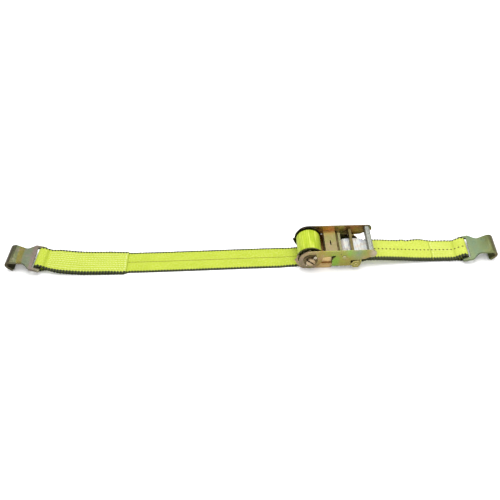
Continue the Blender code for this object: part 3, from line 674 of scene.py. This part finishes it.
def short_strap():
    """One strip round the anchor sleeve and the right hook's bar, its ends sewn together, with its label."""
    bar_x, bar_z = RIGHT_BAR[0] - DRUM_X, RIGHT_BAR[2]
    bolt_x, bolt_z = BOLT[0] - DRUM_X, BOLT[2]
    loop_x, loop_r = bolt_x - 15.0, SLEEVE_R + 0.5 + WEB / 2
    seam = 24.0  # from its turn round the hook's bar to the first stitch

    def middle(x):
        resting = bolt_z + (SAG_Z - bolt_z) * smooth((x - bolt_x - 30) / (SHORT_LAP_END - bolt_x - 20))
        return resting + (bar_z - SAG_Z) * smooth((x - bar_x + 24) / 24)

    def spread(x):
        near = (loop_r - PLY) * (1 - smooth((x - bolt_x - 5) / 22))
        far = (LOOP_R - PLY) * smooth((x - bar_x + 20) / 20)
        return PLY + near + far

    def curl(x, y, z):
        """The top layer's far edge stands up in two places. Its path runs back, so up is negative."""
        if z < middle(x):
            return 0.0, 0.0
        humps = 2.0 * smooth(1 - abs(x - 187) / 9) + 4.6 * smooth(1 - abs(x - 220) / 30)
        return 0.0, -humps * smooth((y - 4) / 20)

    def wider(x):
        return 2.0 * smooth((x - 102) / 15) * smooth((bar_x - 14 - x) / 15)

    first = [(x, middle(x) + spread(x)) for x in frange(SHORT_LAP_END - 0.4, loop_x, 4)]
    bolt_loop = arc((loop_x, bolt_z), loop_r, 90, 270, 9)[1:-1]
    under = [(x, middle(x) - spread(x)) for x in frange(loop_x, bar_x, 4)]
    hook_loop = arc((bar_x, bar_z), LOOP_R, -90, 90, 9)[1:-1]
    last = [(x, middle(x) + spread(x)) for x in frange(bar_x, SHORT_LAP_END + 0.4, 4)]
    to_loop = first + bolt_loop + under + hook_loop
    path = to_loop + last
    cloth = woven(
        "webbing_right", (240, 254, 110), (210, 226, 66), edge=22.0, ragged=1.3, near_shade=2.2,
        stitch={"first": (path_length(to_loop) + seam) * MM, "last": path_length(path) * MM, "amount": 0.15,
                "bar": 0.1, "pale": 0.04},
        tracer={"share": 1.0, "colour": (80, 46, 8), "half": 1.5, "end": ALL_ALONG, "pitch": 7.7, "gap": 0.0})
    strap, length = ribbon("right_strap_web", path, cloth, lump=1.4, ripple=0.5, seed=4.0, wider=wider,
                           curl=curl)
    stands_for(strap, "short_strap", "short_strap")

    lift = WEB / 2 + 0.35 + 0.3
    over = [(x, middle(x) + spread(x) + lift) for x in frange(LABEL_END, loop_x, 4)]
    wrap = arc((loop_x, bolt_z), loop_r + lift, 90, 170, 8)[1:]
    label, length = ribbon("label_web", over + wrap, label_cloth("label_coated"), thickness=0.5,
                           width=LABEL_WIDTH, step=1.5, ripple=0.25, seed=7.0)
    stands_for(label, "short_strap", "strap_label")


def wound_roll():
    """The long strap's end wound on the drum, from its outer turn in almost to the shaft."""
    per_turn = 60
    path = []
    for i in range(int(ROLL_TURNS * per_turn) + 1):
        done = i / per_turn
        wound_in = max(0.0, done - 0.85 + 0.15 * smooth((done - 0.85) / 0.3))
        radius = ROLL_R - WEB / 2 - (WEB + 0.08) * wound_in
        angle = radians(-90 + 360 * done)
        path.append((radius * cos(angle), DRUM_Z + radius * sin(angle)))
    # the roll's weft streaks are painted highlights and painted shade
    cloth = woven("webbing_roll_cloth", (230, 250, 44), (178, 204, 2), edge=24.2, ragged=0.2, near_shade=0.0,
                  fleck_share=0.12, streaks=0.65)
    roll, length = ribbon("roll_web", path, cloth, thickness=WEB - 0.1, step=1.3, lump=0.12, straight=True)
    stands_for(roll, "drum", "webbing_roll")


# ------------------------------------------------------------------ metals


near_zinc = plating(
    "zinc_handle_near",
    [(-24, (160, 136, 110)), (4, (158, 138, 94)), (20, (160, 144, 70)), (32, (154, 154, 66)),
     (44, (150, 160, 72)), (56, (154, 154, 70)), (66, (152, 160, 74)), (73, (138, 172, 78)),
     (80, (144, 162, 92)), (90, (130, 152, 112)), (101, (142, 152, 82)), (110, (156, 148, 80)),
     (120, (180, 166, 142))],
    [(-24, (136, 120, 100)), (8, (138, 124, 88)), (24, (158, 128, 66)), (37, (150, 124, 56)),
     (41, (130, 170, 60)), (51, (136, 168, 62)), (58, (156, 152, 66)), (72, (158, 146, 72)),
     (92, (146, 150, 96)), (108, (166, 146, 90)), (120, (168, 150, 118))],
    (28, 44), tint=[((188, 150, 140), 0.3), ((134, 172, 80), 0.25)], lift=0.68, warp=6.0)
# the far handle plate's inner face: near black round the drum's eye as painted shade, and lifted well above
# the other plates as painted light on this shaded inner face
far_zinc = plating(
    "zinc_handle_far",
    [(-24, (20, 17, 10)), (9, (30, 25, 15)), (13, (150, 126, 62)), (23, (172, 142, 68)),
     (34, (176, 138, 66)), (41, (196, 140, 92)), (49, (200, 150, 108)), (54, (168, 150, 76)),
     (67, (156, 143, 70)), (70, (148, 130, 74)), (73, (134, 108, 54)), (79, (122, 94, 46)),
     (86, (128, 88, 44)), (95, (124, 92, 42)), (107, (116, 88, 50)), (109.5, (110, 104, 84)),
     (113, (128, 126, 110)), (122, (90, 88, 72))],
    [(-24, (24, 20, 12)), (9, (40, 34, 20)), (13, (166, 140, 70)), (40, (196, 136, 88)),
     (50, (196, 146, 106)), (56, (152, 144, 68)), (68, (134, 126, 60)), (72, (170, 146, 120)),
     (75, (88, 66, 30)), (84, (110, 84, 36)), (95, (132, 112, 42)), (107, (120, 104, 56)),
     (109.5, (110, 104, 80)), (122, (90, 88, 72))],
    (36, 46), tint=[((214, 130, 104), 0.35), ((110, 112, 46), 0.25)], lift=1.35, warp=2.5, seed=0.3)
frame_zinc = plating(
    "zinc_frame",
    [(-30, (150, 132, 100)), (10, (160, 142, 96)), (40, (170, 150, 100)), (66, (160, 146, 84)),
     (88, (172, 166, 84)), (100, (164, 150, 90))],
    tint=[((186, 150, 134), 0.4), ((150, 160, 130), 0.35)], roughness=0.32, lift=0.5, seed=0.6)
# the far frame plate's inner face: dark round the drum's eye as painted shade, which also stands for the
# black ratchet wheel there; its pale blotches are painted glints
frame_far_zinc = plating(
    "zinc_frame_far",
    [(-30, (40, 42, 20)), (-12, (38, 38, 20)), (6, (44, 40, 24)), (18, (70, 56, 34)),
     (30, (150, 118, 56)), (60, (92, 96, 44)), (100, (120, 110, 60))],
    tint=[((130, 120, 88), 0.3), ((28, 28, 16), 0.6)], roughness=0.26, seed=0.7)
# the near frame plate: dark over the top of the drum's eye as painted shade in the gap by the roll, and
# lighter from 20 to 34 mm low down as painted light on the notch behind the handle
frame_near_zinc = plating(
    "zinc_frame_near",
    [(-30, (84, 86, 30)), (-14, (74, 80, 22)), (8, (74, 76, 26)), (19, (84, 76, 34)),
     (26, (186, 164, 112)), (42, (180, 156, 104)), (66, (170, 156, 88)), (88, (176, 172, 82)),
     (100, (168, 160, 92))],
    [(-30, (158, 138, 108)), (0, (160, 138, 104)), (20, (212, 182, 124)), (34, (222, 190, 130)),
     (44, (190, 170, 130)), (70, (176, 166, 90)), (100, (176, 172, 84))],
    (34, 37), tint=[((196, 160, 140), 0.35), ((150, 164, 130), 0.3)], roughness=0.32, lift=0.76, warp=4.0,
    seed=0.6)
deck_zinc = plating(
    "zinc_deck",
    [(-34, (176, 160, 118)), (-10, (172, 158, 110)), (6, (168, 162, 100)), (34, (178, 162, 96))],
    tint=[((190, 160, 134), 0.5), ((140, 158, 84), 0.35)], axis="Y", roughness=0.36, grain=(0.25, 2.5, 1),
    lift=0.5, warp=5.0, seed=0.9)
# near black from 34 to 53 mm: painted shade under the bridge
drive_pawl_zinc = plating(
    "zinc_drive_pawl",
    [(20, (74, 58, 34)), (33, (62, 50, 28)), (34, (24, 19, 10)), (53, (26, 22, 11)), (54, (92, 76, 42)),
     (56.4, (98, 86, 46)), (57, (158, 158, 108)), (61.3, (158, 150, 114)), (62.2, (100, 102, 50)),
     (77, (104, 92, 50)), (78, (124, 112, 62)), (82.8, (122, 110, 70))],
    tint=[((150, 132, 96), 0.3), ((96, 104, 56), 0.3)], roughness=0.34, lift=0.56, warp=0.6, seed=1.2)
lock_pawl_zinc = plating(
    "zinc_lock_pawl", [(10, (148, 112, 66)), (34, (160, 120, 70)), (52, (140, 106, 60))],
    tint=[((190, 150, 110), 0.4), ((110, 90, 50), 0.4)], roughness=0.36, seed=1.5)
bright_zinc = plating(
    "zinc_bright", [(-40, (196, 186, 158)), (40, (206, 198, 176)), (80, (214, 206, 190))],
    tint=[((170, 150, 116), 0.5)], roughness=0.27, seed=1.8)
shaft_zinc = plating(
    "zinc_shaft", [(-12, (176, 158, 128)), (12, (168, 146, 110))],
    tint=[((120, 98, 66), 0.5)], roughness=0.36, seed=2.1)
# darkened as painted shade round the shaft's ends
washer_zinc = plating(
    "zinc_washer", [(-14, (104, 92, 62)), (14, (116, 96, 56))],
    tint=[((160, 138, 92), 0.4), ((52, 42, 24), 0.6)], lift=0.5, seed=2.2)
wheel_steel = plating(
    "steel_wheel", [(-26, (66, 66, 54)), (26, (58, 58, 40))],
    tint=[((130, 124, 96), 0.4), ((34, 36, 20), 0.5)], roughness=0.34, seed=2.4)
nut_zinc = plating(
    "zinc_nut", [(70, (172, 168, 80)), (100, (164, 152, 80))],
    tint=[((150, 164, 96), 0.4)], lift=0.62, seed=2.7)
rivet_zinc = plating(
    "zinc_rivet", [(59, (170, 162, 92)), (68, (176, 168, 104))],
    tint=[((210, 204, 160), 0.4)], roughness=0.2, lift=0.6, seed=2.9)
# the bands across the grip are painted shade on its sides and painted highlights along it
grip_zinc = plating(
    "zinc_grip",
    [(108.4, (120, 120, 106)), (109.6, (176, 178, 162)), (110.6, (196, 198, 184)),
     (111.8, (204, 206, 194)), (113, (160, 168, 158)), (114.6, (190, 196, 184)),
     (116.2, (206, 208, 192)), (117.6, (170, 174, 158)), (119.8, (120, 122, 104))],
    tint=[((156, 168, 164), 0.3)], roughness=0.27, grain=(2.5, 0.06, 2.5), lift=0.5, warp=0.5, seed=3.0,
    metallic=0.75)
# darker and browner at the left end: painted shade where the hook curls down
left_hook_zinc = plating(
    "zinc_hook_left",
    [(-580, (92, 84, 54)), (-573, (104, 96, 66)), (-568, (128, 130, 94)), (-560, (126, 134, 96)),
     (-557, (142, 132, 64)), (-551, (138, 130, 64)), (-547, (128, 140, 112)), (-538, (132, 142, 118)),
     (-531, (150, 134, 126)), (-524, (146, 138, 118)), (-516, (188, 182, 150)), (-506, (200, 194, 160))],
    tint=[((166, 136, 140), 0.3), ((140, 144, 84), 0.3)], roughness=0.34, grain=(1, 0.4, 1), lift=0.38,
    warp=2.5, seed=3.3)
# darker and browner past 357 mm: painted shade where the hook curls down
right_hook_zinc = plating(
    "zinc_hook_right",
    [(286, (138, 144, 104)), (302, (144, 156, 112)), (315, (152, 170, 124)), (324, (142, 164, 126)),
     (340, (146, 162, 110)), (350, (144, 154, 98)), (357, (140, 142, 90)), (361, (122, 108, 70)),
     (366, (96, 84, 54))],
    tint=[((132, 162, 140), 0.35), ((164, 154, 110), 0.3)], roughness=0.34, grain=(1, 0.4, 1), lift=0.43,
    warp=2.5, seed=3.6)
# the far plates' upward faces: near black round the drum's eye as painted shade
rim_zinc = plating(
    "zinc_rim",
    [(-24, (24, 21, 12)), (9, (32, 27, 16)), (16, (120, 102, 66)), (40, (150, 124, 84)),
     (60, (132, 120, 74)), (80, (150, 122, 92)), (108, (146, 122, 96)), (114, (120, 114, 94)),
     (122, (84, 82, 66))],
    tint=[((170, 126, 110), 0.4)], roughness=0.32, lift=0.5, warp=3.0, seed=3.9)
# the rounded edges' finishes: wear, and painted highlights where they are lighter than the faces
edge_gold = worn_highlit_edge("edge_gold", (206, 192, 132))
edge_dark = worn_highlit_edge("edge_dark", (120, 112, 82))
edge_silver = worn_highlit_edge("edge_silver", (216, 214, 198))
edge_olive = worn_highlit_edge("edge_olive", (176, 172, 128))

for node, body, slot_name, material, edge, width, *outer in (
    ("frame_side_near", "frame", "zinc", frame_near_zinc, edge_dark, 0.35),
    ("frame_side_far", "frame", "zinc", frame_far_zinc, edge_dark, 0.35, (frame_near_zinc, rim_zinc)),
    ("frame_base", "frame", "zinc", frame_zinc, edge_gold, 0.3),
    ("anchor_bolt", "frame", "zinc", nut_zinc, edge_gold, 0.35),
    ("anchor_nut", "frame", "zinc", nut_zinc, edge_gold, 0.6),
    ("anchor_sleeve", "frame", "zinc", frame_zinc, edge_gold, 0.2),
    ("drum_shaft_upper", "drum", "bright", shaft_zinc, edge_silver, 0.25),
    ("drum_shaft_lower", "drum", "bright", shaft_zinc, edge_silver, 0.25),
    ("ratchet_wheel_near", "drum", "wheel", wheel_steel, edge_dark, 0.3),
    ("ratchet_wheel_far", "drum", "wheel", wheel_steel, edge_dark, 0.3),
    ("hub_washer_near", "drum", "bright", washer_zinc, edge_dark, 0.2),
    ("hub_washer_far", "drum", "bright", washer_zinc, edge_dark, 0.2),
    ("handle_side_near", "handle", "zinc", near_zinc, edge_dark, 0.4),
    ("handle_side_far", "handle", "zinc", far_zinc, edge_dark, 0.4, (near_zinc, rim_zinc)),
    ("handle_bridge", "handle", "zinc", deck_zinc, edge_gold, 0.3),
    ("handle_grip", "handle", "grip", grip_zinc, edge_silver, 0.4),
    ("guide_rivet_near", "handle", "bright", rivet_zinc, edge_silver, 0.2),
    ("guide_rivet_far", "handle", "bright", rivet_zinc, edge_silver, 0.2),
    ("drive_pawl", "drive_pawl", "zinc", drive_pawl_zinc, edge_gold, 0.3),
    ("lock_pawl", "lock_pawl", "zinc_dark", lock_pawl_zinc, edge_gold, 0.3),
    ("left_hook", "left_hook", "hook", left_hook_zinc, edge_olive, 0.9),
    ("right_hook", "right_hook", "hook", right_hook_zinc, edge_olive, 0.9),
):
    finish_metal(node, body, slot_name, material, edge, width, *outer)


def spring(name, node, body, joint, x0, x1, z, turns, radius, wire_radius, keep):
    """A coil from x0 to x1."""
    count = turns * 26
    points = []
    for i in range(count + 1):
        angle = 2 * pi * turns * i / count
        x = x0 + wire_radius + (x1 - x0 - 2 * wire_radius) * i / count
        points.append((x, radius * cos(angle), z + radius * sin(angle)))
    wire(name, points, wire_radius, body, node, (joint, x1, keep))


def cotter_points(y):
    """A split pin through the shaft's end: an eye at one end, and its legs slightly bent at the other."""
    eye = [(2.2 * sin(radians(a)), 12.6 - 2.2 * cos(radians(a))) for a in range(20, 331, 10)]
    flat = [(1.2, -12.6), (0.7, -12.0), (0.35, -11.3), (0, -10.4), (0, 0), (0, 10.4)] + eye
    c, s = cos(SHAFT_TURN), sin(SHAFT_TURN)
    return [(c * x - s * z, y, s * x + c * z) for x, z in flat]


spring("lock_spring_wire", "lock_spring", "frame", "lock_pawl_slide", 28.4, 42.1, -13.9, 6, 2.6, 0.5, 0.55)
spring("drive_spring_wire", "drive_spring", "handle", "drive_pawl_slide", 34.4, 49.4, 7.1, 6, 1.7, 0.4, 0.58)
for side, y in (("near", -COTTER_Y), ("far", COTTER_Y)):
    wire(f"cotter_pin_{side}_wire", cotter_points(y), COTTER_R, "drum", f"cotter_pin_{side}")

# ------------------------------------------------------- stage and lighting

floor_mesh = bpy.data.meshes.new("studio_floor")
floor_mesh.from_pydata([(-6, -6, 0), (6, -6, 0), (6, 6, 0), (-6, 6, 0)], [], [(0, 1, 2, 3)])
floor_mesh.materials.append(floor_material())
new_object("studio_floor", floor_mesh)

long_strap()
short_strap()
wound_roll()


def area_light(name, place, aim, size, power):
    data = bpy.data.lights.new(name, "AREA")
    data.shape = "RECTANGLE"
    data.size, data.size_y = size
    data.energy = power
    light = new_object(name, data)
    light.location = place
    light.rotation_euler = (Vector(aim) - Vector(place)).to_track_quat("-Z", "Y").to_euler()


area_light("overhead_softbox", (0.05, 0.45, 1.75), (0.05, 0.0, 0.0), (1.7, 1.7), 36)
area_light("front_softbox", (0.15, -1.6, 1.25), (0.05, 0.0, 0.0), (2.0, 1.0), 15)

world = bpy.data.worlds.new("studio_light")
world.use_nodes = True
world.node_tree.nodes["Background"].inputs["Color"].default_value = (1, 1, 1, 1)
world.node_tree.nodes["Background"].inputs["Strength"].default_value = 0.95
bpy.context.scene.world = world
bpy.context.scene.view_settings.view_transform = "Standard"

# ------------------------------------------------------------------ camera

ELEVATION, TURN, DISTANCE = radians(45.95), radians(-2.27), 1.2659
target = Vector((0.026, 0.0029, 0.02))
direction = Vector((sin(TURN) * cos(ELEVATION), -cos(TURN) * cos(ELEVATION), sin(ELEVATION)))
camera_data = bpy.data.cameras.new("camera")
camera_data.sensor_width = 36
camera_data.lens = 47.07
camera_data.shift_x = -0.0336
camera = new_object("camera", camera_data)
camera.location = target + direction * DISTANCE
camera.rotation_euler = (-direction).to_track_quat("-Z", "Y").to_euler()
bpy.context.scene.camera = camera
